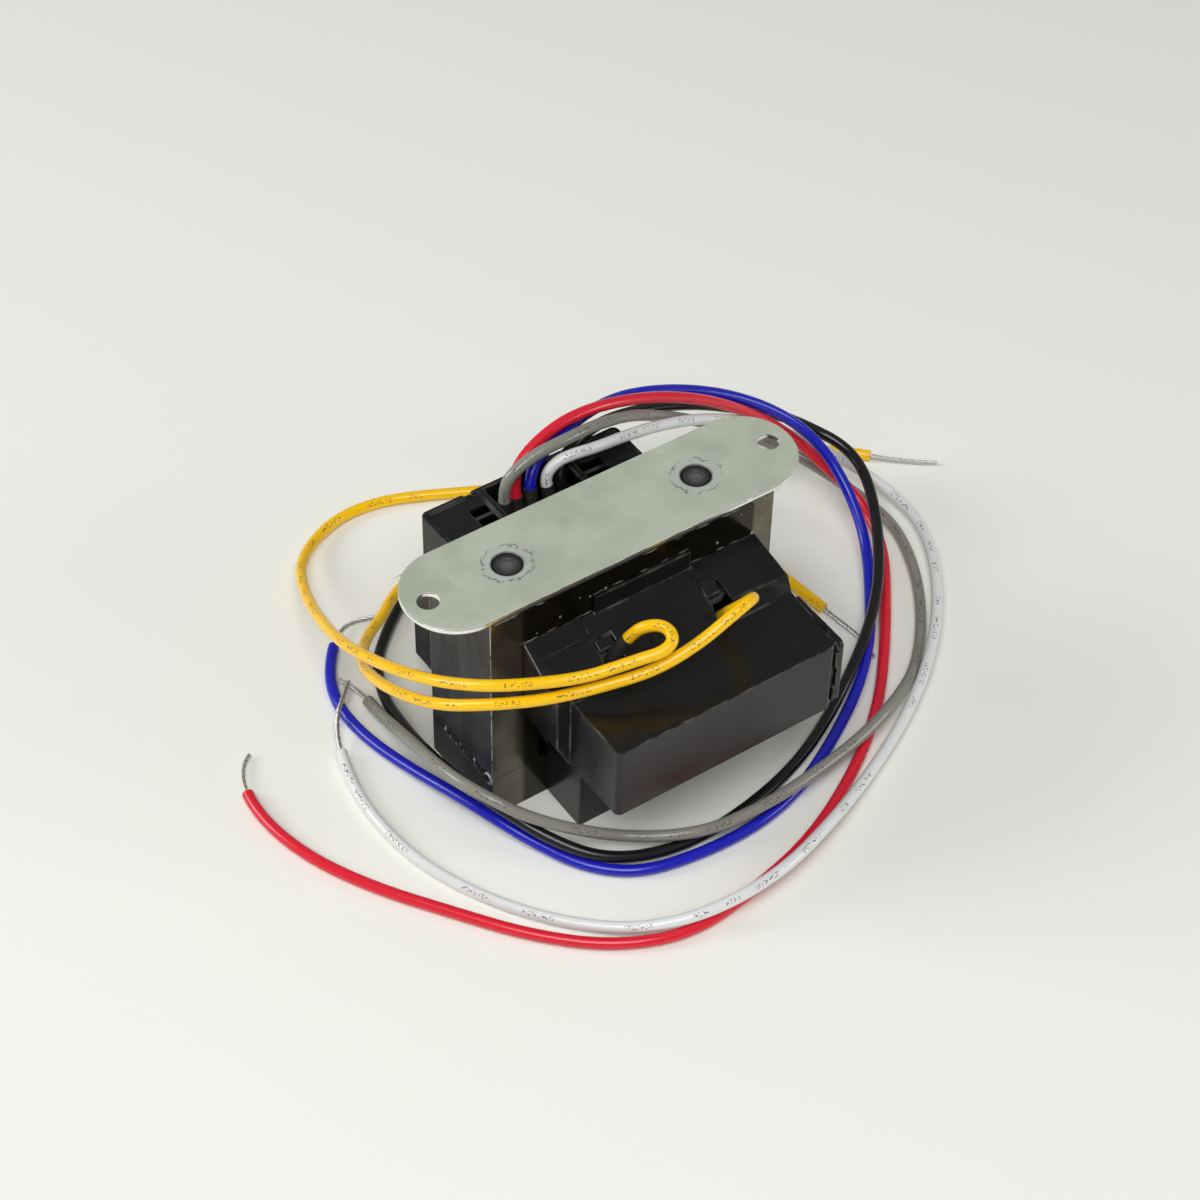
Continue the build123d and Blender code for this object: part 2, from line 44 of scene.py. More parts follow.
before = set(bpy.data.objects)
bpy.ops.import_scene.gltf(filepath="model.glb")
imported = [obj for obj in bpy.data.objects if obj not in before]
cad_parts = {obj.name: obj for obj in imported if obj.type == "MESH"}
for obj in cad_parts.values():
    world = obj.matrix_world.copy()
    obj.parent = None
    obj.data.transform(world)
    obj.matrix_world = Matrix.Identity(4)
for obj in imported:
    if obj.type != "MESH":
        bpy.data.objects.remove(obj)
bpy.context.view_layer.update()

mm = 0.001
core_low, core_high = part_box("e_laminations")
core_y = (core_low.y + core_high.y) / 2
cover_low, cover_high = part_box("front_cover")
plate_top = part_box("mounting_plate")[1].z
plug_low, plug_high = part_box("plug_welds")
plug_radius = (plug_high.y - plug_low.y) / 2
plug_x = plug_high.x - plug_radius
seam_low, seam_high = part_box("seam_welds")
seam_z = (seam_low.z + seam_high.z) / 2

# Where the leads run, in metres, about the middle of the core's foot. Each lead starts halfway
# between its sleeve's end and its first point. It stops, and its bare strands start, halfway
# between its last point and their first one.
sleeve_ends = {
    "grey": (-0.0079, 0.0277, 0.0493),
    "red": (-0.0044, 0.0282, 0.0489),
    "blue": (-0.0007, 0.0280, 0.0489),
    "white": (0.0036, 0.0270, 0.0496),
    "black": (0.0078, 0.0250, 0.0420),
    "yellow_left": (-0.0116, -0.0241, 0.0522),
    "yellow_right": (0.0157, -0.0232, 0.0436),
}

lead_points = {
    "grey": [
        (-0.0078, 0.0285, 0.0546), (-0.0062, 0.0282, 0.0592), (0.0005, 0.0280, 0.0625),
        (0.0080, 0.0275, 0.0633), (0.0185, 0.0295, 0.0615), (0.0308, 0.0328, 0.0558),
        (0.0438, 0.0362, 0.0462), (0.0600, 0.0395, 0.0330), (0.0740, 0.0390, 0.0215),
        (0.0855, 0.0360, 0.0120), (0.0930, 0.0290, 0.0050), (0.0965, 0.0205, 0.0025),
        (0.0975, 0.0095, 0.0015), (0.0924, -0.0043, 0.0015), (0.0838, -0.0180, 0.0015),
        (0.0725, -0.0302, 0.0015), (0.0597, -0.0387, 0.0055), (0.0470, -0.0430, 0.0050),
        (0.0345, -0.0455, 0.0050), (0.0220, -0.0475, 0.0055), (0.0110, -0.0480, 0.0055),
        (0.0000, -0.0470, 0.0050), (-0.0095, -0.0435, 0.0050), (-0.0180, -0.0370, 0.0040),
        (-0.0280, -0.0315, 0.0075), (-0.0370, -0.0255, 0.0120), (-0.0430, -0.0190, 0.0160),
        (-0.0465, -0.0090, 0.0160), (-0.0465, 0.0055, 0.0120), (-0.0455, 0.0185, 0.0070),
        (-0.0444, 0.0285, 0.0026),
    ],
    "red": [
        (-0.0043, 0.0293, 0.0535), (-0.0030, 0.0310, 0.0570), (0.0030, 0.0330, 0.0600),
        (0.0130, 0.0345, 0.0620), (0.0255, 0.0350, 0.0605), (0.0415, 0.0360, 0.0540),
        (0.0580, 0.0370, 0.0435), (0.0730, 0.0375, 0.0305), (0.0835, 0.0345, 0.0195),
        (0.0880, 0.0275, 0.0130), (0.0915, 0.0210, 0.0085), (0.0915, 0.0120, 0.0050),
        (0.0880, 0.0025, 0.0025), (0.0795, -0.0090, 0.0015), (0.0690, -0.0220, 0.0015),
        (0.0561, -0.0359, 0.0015), (0.0403, -0.0479, 0.0015), (0.0194, -0.0590, 0.0015),
        (-0.0005, -0.0640, 0.0015), (-0.0205, -0.0665, 0.0015), (-0.0370, -0.0595, 0.0015),
        (-0.0505, -0.0468, 0.0015), (-0.0614, -0.0317, 0.0015), (-0.0724, -0.0160, 0.0015),
        (-0.0802, 0.0000, 0.0015), (-0.0833, 0.0163, 0.0015),
    ],
    "blue": [
        (0.0002, 0.0298, 0.0540), (0.0042, 0.0318, 0.0570), (0.0105, 0.0336, 0.0582),
        (0.0200, 0.0372, 0.0578), (0.0330, 0.0415, 0.0540), (0.0470, 0.0425, 0.0485),
        (0.0615, 0.0420, 0.0410), (0.0735, 0.0390, 0.0335), (0.0825, 0.0345, 0.0260),
        (0.0870, 0.0275, 0.0195), (0.0880, 0.0200, 0.0135), (0.0865, 0.0115, 0.0090),
        (0.0835, 0.0040, 0.0050), (0.0760, -0.0070, 0.0035), (0.0670, -0.0185, 0.0030),
        (0.0550, -0.0295, 0.0030), (0.0420, -0.0375, 0.0015), (0.0255, -0.0460, 0.0015),
        (0.0100, -0.0495, 0.0015), (-0.0055, -0.0490, 0.0015), (-0.0200, -0.0460, 0.0015),
        (-0.0295, -0.0375, 0.0015), (-0.0355, -0.0260, 0.0025), (-0.0405, -0.0160, 0.0050),
        (-0.0435, -0.0055, 0.0045), (-0.0470, 0.0080, 0.0025), (-0.0500, 0.0210, 0.0015),
        (-0.0510, 0.0325, 0.0015), (-0.0490, 0.0415, 0.0015), (-0.0446, 0.0490, 0.0015),
    ],
    "white": [
        (0.0032, 0.0280, 0.0542), (0.0062, 0.0279, 0.0572), (0.0099, 0.0268, 0.0585),
        (0.0162, 0.0262, 0.0579), (0.0261, 0.0279, 0.0554), (0.0410, 0.0320, 0.0486),
        (0.0570, 0.0355, 0.0395), (0.0735, 0.0395, 0.0265), (0.0870, 0.0385, 0.0155),
        (0.0950, 0.0340, 0.0090), (0.1005, 0.0260, 0.0055), (0.1030, 0.0175, 0.0035),
        (0.1030, 0.0075, 0.0025), (0.0980, -0.0045, 0.0030), (0.0890, -0.0175, 0.0035),
        (0.0775, -0.0295, 0.0035), (0.0630, -0.0405, 0.0030), (0.0435, -0.0510, 0.0025),
        (0.0225, -0.0605, 0.0050), (0.0045, -0.0660, 0.0055), (-0.0145, -0.0665, 0.0055),
        (-0.0288, -0.0604, 0.0027), (-0.0405, -0.0500, 0.0015), (-0.0505, -0.0370, 0.0015),
        (-0.0575, -0.0230, 0.0015), (-0.0610, -0.0095, 0.0015), (-0.0615, 0.0055, 0.0015),
        (-0.0592, 0.0175, 0.0015),
    ],
    "black": [
        (0.0078, 0.0274, 0.0474), (0.0082, 0.0290, 0.0516), (0.0102, 0.0308, 0.0544),
        (0.0150, 0.0326, 0.0556), (0.0225, 0.0346, 0.0558), (0.0315, 0.0362, 0.0533),
        (0.0435, 0.0395, 0.0470), (0.0585, 0.0425, 0.0380), (0.0719, 0.0425, 0.0295),
        (0.0829, 0.0414, 0.0230), (0.0902, 0.0370, 0.0180), (0.0950, 0.0295, 0.0155),
        (0.0950, 0.0210, 0.0135), (0.0905, 0.0105, 0.0110), (0.0845, 0.0010, 0.0085),
        (0.0765, -0.0090, 0.0075), (0.0665, -0.0180, 0.0065), (0.0565, -0.0250, 0.0055),
        (0.0455, -0.0315, 0.0025), (0.0315, -0.0385, 0.0015), (0.0165, -0.0430, 0.0015),
        (-0.0005, -0.0452, 0.0015), (-0.0143, -0.0437, 0.0018), (-0.0258, -0.0388, 0.0033),
        (-0.0336, -0.0298, 0.0060), (-0.0390, -0.0199, 0.0095), (-0.0435, -0.0099, 0.0120),
        (-0.0444, 0.0040, 0.0095), (-0.0427, 0.0187, 0.0050), (-0.0405, 0.0315, 0.0020),
        (-0.0360, 0.0420, 0.0015), (-0.0285, 0.0495, 0.0015), (-0.0205, 0.0560, 0.0015),
    ],
    "yellow_left": [
        (-0.0093, -0.0264, 0.0576), (-0.0076, -0.0281, 0.0596), (-0.0054, -0.0300, 0.0603),
        (-0.0043, -0.0324, 0.0599), (-0.0052, -0.0347, 0.0590), (-0.0083, -0.0352, 0.0580),
        (-0.0126, -0.0335, 0.0570), (-0.0177, -0.0315, 0.0556), (-0.0245, -0.0285, 0.0535),
        (-0.0335, -0.0220, 0.0510), (-0.0410, -0.0140, 0.0475), (-0.0470, -0.0020, 0.0420),
        (-0.0500, 0.0140, 0.0345), (-0.0500, 0.0335, 0.0245), (-0.0450, 0.0560, 0.0135),
        (-0.0380, 0.0750, 0.0060), (-0.0295, 0.0845, 0.0025), (-0.0185, 0.0900, 0.0015),
        (-0.0065, 0.0895, 0.0015), (0.0055, 0.0845, 0.0015), (0.0170, 0.0785, 0.0015),
        (0.0330, 0.0705, 0.0015), (0.0520, 0.0600, 0.0015), (0.0720, 0.0530, 0.0015),
        (0.0890, 0.0490, 0.0015), (0.1025, 0.0405, 0.0015),
    ],
    "yellow_right": [
        (0.0158, -0.0258, 0.0480), (0.0147, -0.0287, 0.0520), (0.0159, -0.0310, 0.0550),
        (0.0178, -0.0330, 0.0584), (0.0144, -0.0362, 0.0622), (0.0091, -0.0370, 0.0614),
        (0.0005, -0.0367, 0.0570), (-0.0100, -0.0350, 0.0530), (-0.0215, -0.0305, 0.0505),
        (-0.0315, -0.0245, 0.0470), (-0.0405, -0.0160, 0.0430), (-0.0475, -0.0050, 0.0370),
        (-0.0495, 0.0090, 0.0295), (-0.0485, 0.0240, 0.0215), (-0.0440, 0.0350, 0.0150),
        (-0.0375, 0.0430, 0.0110), (-0.0305, 0.0480, 0.0090), (-0.0225, 0.0550, 0.0070),
        (-0.0125, 0.0600, 0.0052), (0.0035, 0.0615, 0.0020), (0.0210, 0.0600, 0.0015),
        (0.0390, 0.0540, 0.0015), (0.0540, 0.0420, 0.0015), (0.0615, 0.0250, 0.0015),
        (0.0642, 0.0040, 0.0015),
    ],
}

strand_points = {
    "grey": [(-0.0438, 0.0365, 0.0012), (-0.0460, 0.0425, 0.0012)],
    "red": [(-0.0806, 0.0305, 0.0014), (-0.0755, 0.0340, 0.0008)],
    "blue": [(-0.0384, 0.0560, 0.0014), (-0.0325, 0.0576, 0.0010), (-0.0270, 0.0555, 0.0008)],
    "white": [
        (-0.0562, 0.0265, 0.0026), (-0.0532, 0.0310, 0.0044), (-0.0495, 0.0346, 0.0045),
        (-0.0454, 0.0390, 0.0034),
    ],
    "black": [(-0.0085, 0.0655, 0.0014), (-0.0020, 0.0675, 0.0008)],
    "yellow_left": [(0.1140, 0.0275, 0.0014), (0.1215, 0.0230, 0.0008)],
    "yellow_right": [(0.0658, -0.0095, 0.0014), (0.0670, -0.0160, 0.0009), (0.0656, -0.0220, 0.0007)],
}

# The way that the printed side of the leads faces, and the colours that have print
printed_side = Vector((-0.4, -0.57, 0.72))
printed_colours = ("grey", "white", "yellow")

# Runs of varnish on the core's front face, in millimetres: start and end along it, and height
varnish_lines = [
    (-30.0, -11.6, 53.3), (-11.2, 14.7, 58.2), (15.0, 32.4, 53.3), (2.0, 37.0, 63.2),
    (-37.0, -24.0, 63.2),
]
# Drops of varnish there, in millimetres: place along the face, height and radius
varnish_drops = [
    (-19.9, 56.1, 0.3), (-14.7, 59.1, 0.22), (-7.8, 58.3, 0.35), (14.6, 54.6, 0.3), (22.6, 55.6, 0.4),
    (32.4, 53.4, 0.5), (29.0, 61.0, 0.25), (-12.0, 58.0, 0.28), (-26.0, 54.4, 0.22),
]

# The soft lights, in metres and watts: name, place, what it faces, side and power
lamps = [
    ("front softbox", (-0.45, -0.5, 1.15), (0, 0, 0), 0.8, 11),
    ("left softbox", (-0.95, 0.72, 0.6), (0, 0, 0.03), 0.6, 7),
    ("right softbox", (1.1, -1.0, 0.5), (0, 0, 0.03), 0.5, 4.5),
]

# In the modelled pieces, points nearer than merge_distance are merged, edges that turn less than
# flat_angle are dissolved, and edges that turn more than rounded_angle are rounded
merge_distance = 0.002 * mm
flat_angle = math.radians(0.5)
rounded_angle = math.radians(30)


class LeadSettings(bpy.types.PropertyGroup):
    """Sizes and colours of the leads."""

    diameter: FloatProperty(
        name="Diameter", description="Outside diameter of the insulation", default=2.8 * mm,
        unit="LENGTH",
    )
    bundle: FloatProperty(
        name="Bundle", description="Diameter of the twisted bare wires", default=1.2 * mm, unit="LENGTH"
    )
    lay: FloatProperty(
        name="Lay", description="Length in which the bare wires twist once round", default=5 * mm,
        unit="LENGTH",
    )
    wires: IntProperty(name="Wires", description="Strands twisted together", default=3)
    yellow: FloatVectorProperty(
        name="Yellow", description="Yellow insulation", default=(1.0, 0.58, 0.002), subtype="COLOR"
    )
    red: FloatVectorProperty(
        name="Red", description="Red insulation", default=(0.74, 0.014, 0.035), subtype="COLOR"
    )
    blue: FloatVectorProperty(
        name="Blue", description="Blue insulation", default=(0.01, 0.013, 0.46), subtype="COLOR"
    )
    grey: FloatVectorProperty(
        name="Grey", description="Grey insulation", default=(0.255, 0.25, 0.215), subtype="COLOR"
    )
    white: FloatVectorProperty(
        name="White", description="White insulation", default=(0.78, 0.8, 0.79), subtype="COLOR"
    )
    black: FloatVectorProperty(
        name="Black", description="Black insulation", default=(0.008, 0.008, 0.009), subtype="COLOR"
    )
    ink: FloatVectorProperty(
        name="Ink", description="Ink of the plain marks", default=(0.06, 0.055, 0.045), subtype="COLOR"
    )


class CoreSettings(bpy.types.PropertyGroup):
    """Sizes and colours of the iron core and its welds."""

    sheet: FloatProperty(
        name="Sheet", description="Thickness of one punching", default=0.62 * mm, unit="LENGTH"
    )
    edge_round: FloatProperty(
        name="Edge", description="Rounding of the stack's edges", default=0.15 * mm, unit="LENGTH"
    )
    crater: FloatProperty(
        name="Crater", description="Radius of the ring at the seam weld's end", default=1.7 * mm,
        unit="LENGTH",
    )
    run: FloatProperty(
        name="Run", description="Usual radius of a run of varnish", default=0.15 * mm, unit="LENGTH"
    )
    seed: IntProperty(name="Seed", description="Random pattern of the runs of varnish", default=7)
    varnish: FloatVectorProperty(
        name="Varnish", description="Varnished faces of the stack", default=(0.18, 0.16, 0.125),
        subtype="COLOR",
    )
    steel: FloatVectorProperty(
        name="Steel", description="Cut edges of the punchings", default=(0.074, 0.079, 0.088),
        subtype="COLOR",
    )
    bead: FloatVectorProperty(
        name="Bead", description="Weld metal of the seams", default=(0.55, 0.55, 0.56), subtype="COLOR"
    )


class PlateSettings(bpy.types.PropertyGroup):
    """Sizes and colours of the mounting plate and its plug welds."""

    edge_round: FloatProperty(
        name="Edge", description="Rounding of the plate's edges", default=0.32 * mm, unit="LENGTH"
    )
    scorch: FloatProperty(
        name="Scorch", description="Radius of the burnt ring at a plug weld", default=5.9 * mm,
        unit="LENGTH",
    )
    zinc: FloatVectorProperty(
        name="Zinc", description="Zinc plating", default=(0.57, 0.62, 0.5), subtype="COLOR"
    )
    plug: FloatVectorProperty(
        name="Plug", description="Weld metal in the plate", default=(0.1, 0.1, 0.098), subtype="COLOR"
    )


class CoverSettings(bpy.types.PropertyGroup):
    """Sizes and colours of the moulded lead covers and the coil."""

    edge_round: FloatProperty(
        name="Edge", description="Rounding of the covers' edges", default=0.36 * mm, unit="LENGTH"
    )
    gloss: FloatProperty(
        name="Gloss", description="Least roughness of the front cover", default=0.13, subtype="FACTOR"
    )
    matte: FloatProperty(
        name="Matte", description="Least roughness of the back cover", default=0.38, subtype="FACTOR"
    )
    plastic: FloatVectorProperty(
        name="Plastic", description="Moulded covers", default=(0.005, 0.005, 0.005), subtype="COLOR"
    )
    dust: FloatVectorProperty(
        name="Dust", description="Fine dust on the covers", default=(0.45, 0.45, 0.43), subtype="COLOR"
    )
    # The bobbin's pale nylon is given a dark colour as painted shade, so that the inside of the ports
    # reads dark.
    nylon: FloatVectorProperty(
        name="Nylon", description="Bobbin", default=(0.12, 0.115, 0.1), subtype="COLOR"
    )
    wire: FloatVectorProperty(
        name="Magnet wire", description="Varnished copper", default=(0.6, 0.22, 0.1), subtype="COLOR"
    )
    film: FloatVectorProperty(
        name="Film", description="Insulating film", default=(0.7, 0.5, 0.12), subtype="COLOR"
    )


class StageSettings(bpy.types.PropertyGroup):
    """Camera, floor and lights."""

    yaw: FloatProperty(
        name="Yaw", description="Turn of the view from the front towards the right",
        default=math.radians(35.349), subtype="ANGLE",
    )
    pitch: FloatProperty(
        name="Pitch", description="How far the camera looks down", default=math.radians(45.978),
        subtype="ANGLE",
    )
    roll: FloatProperty(
        name="Roll", description="Tilt of the camera", default=math.radians(1.329), subtype="ANGLE"
    )
    eye: FloatVectorProperty(
        name="Eye", description="Place of the camera, about the middle of the core's foot",
        default=(-0.27498, -0.38724, 0.53053), subtype="TRANSLATION", unit="LENGTH",
    )
    lens: FloatProperty(name="Lens", description="Focal length", default=89.878, unit="CAMERA")
    sensor: FloatProperty(
        name="Sensor", description="Width of the camera's sensor", default=36.0, unit="CAMERA"
    )
    nearest: FloatProperty(
        name="Nearest", description="Nearest distance that the camera sees", default=0.01, unit="LENGTH"
    )
    sky: FloatProperty(name="Sky", description="Strength of the white sky", default=0.24)
    reach: FloatProperty(
        name="Reach", description="How far the floor reaches to each side", default=3.0, unit="LENGTH"
    )
    floor: FloatVectorProperty(
        name="Floor", description="Pale floor", default=(0.88, 0.89, 0.83), subtype="COLOR"
    )


class Field:
    """A value that varies over a surface. Arithmetic on it adds the Math nodes."""

    def __init__(self, graph, socket):
        self.graph = graph
        self.socket = socket

    def __add__(self, other):
        return self.graph.math("ADD", self, other)

    def __radd__(self, other):
        return self.graph.math("ADD", other, self)

    def __sub__(self, other):
        return self.graph.math("SUBTRACT", self, other)

    def __rsub__(self, other):
        return self.graph.math("SUBTRACT", other, self)

    def __mul__(self, other):
        return self.graph.math("MULTIPLY", self, other)

    def __rmul__(self, other):
        return self.graph.math("MULTIPLY", other, self)

    def __truediv__(self, other):
        return self.graph.math("DIVIDE", self, other)

    def __lt__(self, other):
        return self.graph.math("LESS_THAN", self, other)

    def __abs__(self):
        return self.graph.math("ABSOLUTE", self)


class Graph:
    """The nodes of one material."""

    def __init__(self, name):
        self.material = bpy.data.materials.new(name)
        self.material.use_nodes = True
        self.tree = self.material.node_tree
        self.tree.nodes.clear()

    def node(self, kind, settings, values, output=0):
        """Add a node: its settings first, then the values or links of its sockets."""
        made = self.tree.nodes.new(kind)
        for name, setting in settings.items():
            setattr(made, name, setting)
        for key, value in values.items():
            if isinstance(value, Field):
                self.tree.links.new(value.socket, made.inputs[key])
            else:
                made.inputs[key].default_value = value
        return Field(self, made.outputs[output])

    def math(self, operation, first, second=0.0):
        """One step of arithmetic on fields and numbers."""
        return self.node("ShaderNodeMath", {"operation": operation}, {0: first, 1: second})

    def place(self):
        """Object coordinates, in metres."""
        return self.node("ShaderNodeTexCoord", {}, {}, "Object")

    def axes(self):
        """Object coordinates as three fields, in millimetres, about the middle of the core's foot."""
        parts = self.tree.nodes.new("ShaderNodeSeparateXYZ")
        self.tree.links.new(self.place().socket, parts.inputs[0])
        x, y, z = (Field(self, output) for output in parts.outputs)
        return x / mm, (y - core_y) / mm, z / mm

    def along(self):
        """A lead's own coordinates: share of the way round, and distance along it in millimetres."""
        parts = self.tree.nodes.new("ShaderNodeSeparateXYZ")
        place = self.node("ShaderNodeTexCoord", {}, {}, "UV")
        self.tree.links.new(place.socket, parts.inputs[0])
        return Field(self, parts.outputs[0]), Field(self, parts.outputs[1]) / mm

    def rounded_edge(self):
        """1 on the small rounded edges of a piece."""
        settings = {"attribute_type": "GEOMETRY", "attribute_name": "rounded_edge"}
        return self.node("ShaderNodeAttribute", settings, {}, "Fac")

    def vector(self, x, y, z):
        """Three fields or numbers as one place."""
        return self.node("ShaderNodeCombineXYZ", {}, {0: x, 1: y, 2: z})

    def step(self, value, low, high):
        """0 below low, 1 above high, and smooth between them."""
        return self.node(
            "ShaderNodeMapRange", {"interpolation_type": "SMOOTHSTEP"},
            {"Value": value, "From Min": low, "From Max": high},
        )

    def noise(self, size, detail=2.0, roughness=0.5, place=None):
        """Noise with features of a size in millimetres."""
        if place is None:
            place = self.place()
            scale = 1 / (size * mm)
        else:
            scale = 1 / size
        return self.node(
            "ShaderNodeTexNoise", {},
            {"Vector": place, "Scale": scale, "Detail": detail, "Roughness": roughness},
        )

    def specks(self, spacing, size):
        """1 on tiny specks, one in each cell of the spacing, in millimetres."""
        distance = self.node(
            "ShaderNodeTexVoronoi", {}, {"Vector": self.place(), "Scale": 1 / (spacing * mm)}
        )
        return 1 - self.step(distance, 0.4 * size / spacing, 0.6 * size / spacing)

    def blend(self, share, first, second):
        """One colour turning into another as the share goes from 0 to 1."""
        colours = {6: colour(first), 7: colour(second)}
        return self.node("ShaderNodeMix", {"data_type": "RGBA"}, {0: share, **colours}, 2)

    def bump(self, height, depth):
        """A relief whose height field of 0 to 1 stands for a depth in millimetres."""
        return self.node("ShaderNodeBump", {}, {"Height": height, "Distance": depth * mm})

    def surface(self, values):
        """Finish the material with its surface shader."""
        shader = self.node("ShaderNodeBsdfPrincipled", {}, values)
        result = self.tree.nodes.new("ShaderNodeOutputMaterial")
        self.tree.links.new(shader.socket, result.inputs["Surface"])
        return self.material


def colour(value):
    """A colour as a socket takes it, from a property, or a field as it is."""
    return value if isinstance(value, Field) else (*value, 1.0)


def toned(base, factor):
    """A colour made darker or lighter by a factor."""
    return [channel * factor for channel in base]


def insulation(name, base, ink=None):
    """Glossy plastic insulation, a little uneven, with plain ink marks where a colour has them."""
    graph = Graph(name)
    around, along = graph.along()
    cloud = graph.noise(6.0, detail=3.0)
    tone = graph.blend(cloud * 0.5, base, toned(base, 0.85))
    if ink is not None:
        word_place = graph.vector(along * 0.13, 3.0, 0.0)
        stroke_place = graph.vector(along * 1.5, around * 17.0, 7.0)
        words = graph.noise(1.0, detail=0.0, place=word_place)
        strokes = graph.noise(1.0, detail=1.0, place=stroke_place)
        band = 1 - graph.step(abs(around - 0.5), 0.05, 0.07)
        marks = band * graph.step(words, 0.5, 0.52) * graph.step(strokes, 0.53, 0.58)
        tone = graph.blend(marks * 0.72, tone, ink)
    return graph.surface({
        "Base Color": tone,
        "Roughness": 0.16 + cloud * 0.1,
        "Normal": graph.bump(graph.noise(0.5, detail=2.0) * 0.3 + graph.noise(4.0) * 0.7, 0.05),
        "IOR": 1.5,
    })


def tinned_copper():
    """Bare twisted wires, tinned, with dull patches."""
    graph = Graph("tinned copper")
    bright, dull = (0.86, 0.85, 0.81), (0.5, 0.49, 0.46)
    patches = graph.noise(0.8, detail=3.0)
    return graph.surface({
        "Base Color": graph.blend(patches, bright, dull),
        "Metallic": 1.0,
        "Roughness": 0.28 + patches * 0.25,
    })


def sleeve_tubing():
    """Black tubing over the splices."""
    graph = Graph("sleeve tubing")
    black, scuffed = (0.012, 0.012, 0.012), (0.03, 0.03, 0.029)
    fine = graph.noise(0.5, detail=3.0)
    return graph.surface({
        "Base Color": graph.blend(fine, black, scuffed),
        "Roughness": 0.38 + fine * 0.15,
        "Normal": graph.bump(fine, 0.04),
    })


def punchings(name, settings, edge_light_factor):
    """Stacked punchings: varnished flat faces, and cut edges that show each sheet. The front face has
    painted shade over the cover's width, and the corners a painted highlight with their wear.

    The cut edges are as light as the settings' steel times a factor, which paints shade on them where
    it is below 1.
    """
    graph = Graph(name)
    x, y, z = graph.axes()
    half_stack = (core_high.y - core_low.y) / 2 / mm
    half_width = core_high.x / mm
    cover_start, cover_end = cover_low.x / mm, cover_high.x / mm
    shadowed, dusty = (0.022, 0.018, 0.013), (0.55, 0.52, 0.44)
    dull = toned(settings.steel, edge_light_factor * 0.6)
    bright = toned(settings.steel, edge_light_factor * 1.35)
    worn_steel_highlight = toned(settings.steel, edge_light_factor * 6)
    flat = graph.step(abs(y), half_stack - 0.16, half_stack - 0.06)
    sheet = graph.math("FRACT", y / (settings.sheet / mm))
    gap = 1 - graph.step(abs(sheet - 0.5), 0.34, 0.48)
    streak_place = graph.vector(x * 0.1, y * 0.8, z * 0.045)
    blotch_place = graph.vector(x * 0.1, y * 0.16, z * 0.05)
    streaks = graph.noise(1.0, detail=3.0, roughness=0.6, place=streak_place)
    blotches = graph.noise(1.0, detail=2.0, place=blotch_place)
    stains = graph.noise(9.0, detail=4.0, roughness=0.6)
    cut = graph.blend(graph.step(blotches * 0.75 + streaks * 0.25, 0.34, 0.66), dull, bright)
    cut = graph.blend(gap * 0.3, cut, dull)
    coat = graph.blend(graph.step(stains, 0.42, 0.8), settings.varnish, toned(settings.varnish, 0.6))
    # Painted shade: over the cover's width the front face's varnish is darkened, for the cover's shade
    # and dark reflection on it.
    painted_cover_shade = graph.step(x, cover_start - 1, cover_start + 1) * (y < 0.0)
    painted_cover_shade = painted_cover_shade * (1 - graph.step(x, cover_end - 1, cover_end))
    coat = graph.blend(painted_cover_shade * 0.85, coat, shadowed)
    flecks = graph.specks(spacing=2.6, size=0.14) * graph.step(graph.noise(6.0), 0.5, 0.58)
    coat = graph.blend(flecks * 0.7, coat, dusty)
    # Corners of the stack: some wear, and a painted highlight along the vertical corner edges, in the
    # light steel colour.
    corner = graph.step(abs(x), half_width - 0.3, half_width - 0.1)
    corner = corner * graph.step(abs(y), half_stack - 0.3, half_stack - 0.1)
    wear_and_highlight = corner * graph.step(graph.noise(2.5, detail=3.0), 0.36, 0.5)
    tone = graph.blend(wear_and_highlight, graph.blend(flat, cut, coat), worn_steel_highlight)
    relief = (1 - flat) * (gap * 0.5 + streaks * 0.5)
    return graph.surface({
        "Base Color": tone,
        "Metallic": 0.9,
        "Roughness": 0.4 - flat * 0.27 + stains * 0.08,
        "Normal": graph.bump(relief + flat * graph.noise(18.0) * 0.5, 0.05),
    })


def bead_metal(name, settings, crest):
    """Weld metal: dark and ragged, with bright crests where a noise is above a level."""
    graph = Graph(name)
    y = graph.axes()[1]
    burnt = (0.022, 0.022, 0.024)
    wobble = graph.noise(0.9, detail=4.0, roughness=0.7)
    crests = graph.step(graph.noise(1.2, detail=3.0, roughness=0.6), crest, crest + 0.1)
    ripple = graph.math("SINE", y * 5.5 + wobble * 9.0)
    return graph.surface({
        "Base Color": graph.blend(crests * 0.8, burnt, settings.bead),
        "Metallic": 0.95,
        "Roughness": 0.32 + wobble * 0.2,
        "Normal": graph.bump(ripple * 0.3 + wobble, 0.3),
    })


def clear_varnish():
    """Runs of clear brown varnish, wet-looking."""
    graph = Graph("clear varnish")
    thick, thin = (0.05, 0.045, 0.035), (0.3, 0.29, 0.25)
    clouds = graph.noise(1.0, detail=3.0)
    return graph.surface({
        "Base Color": graph.blend(clouds, thick, thin),
        "Roughness": 0.08 + clouds * 0.12,
        "Coat Weight": 0.6 + clouds * 0.4,
        "Normal": graph.bump(clouds, 0.1),
    })


def weld_circle(graph, x, y):
    """Distance from the middle of the nearer plug weld, in millimetres."""
    across = abs(x) - plug_x / mm
    return graph.math("SQRT", across * across + y * y)


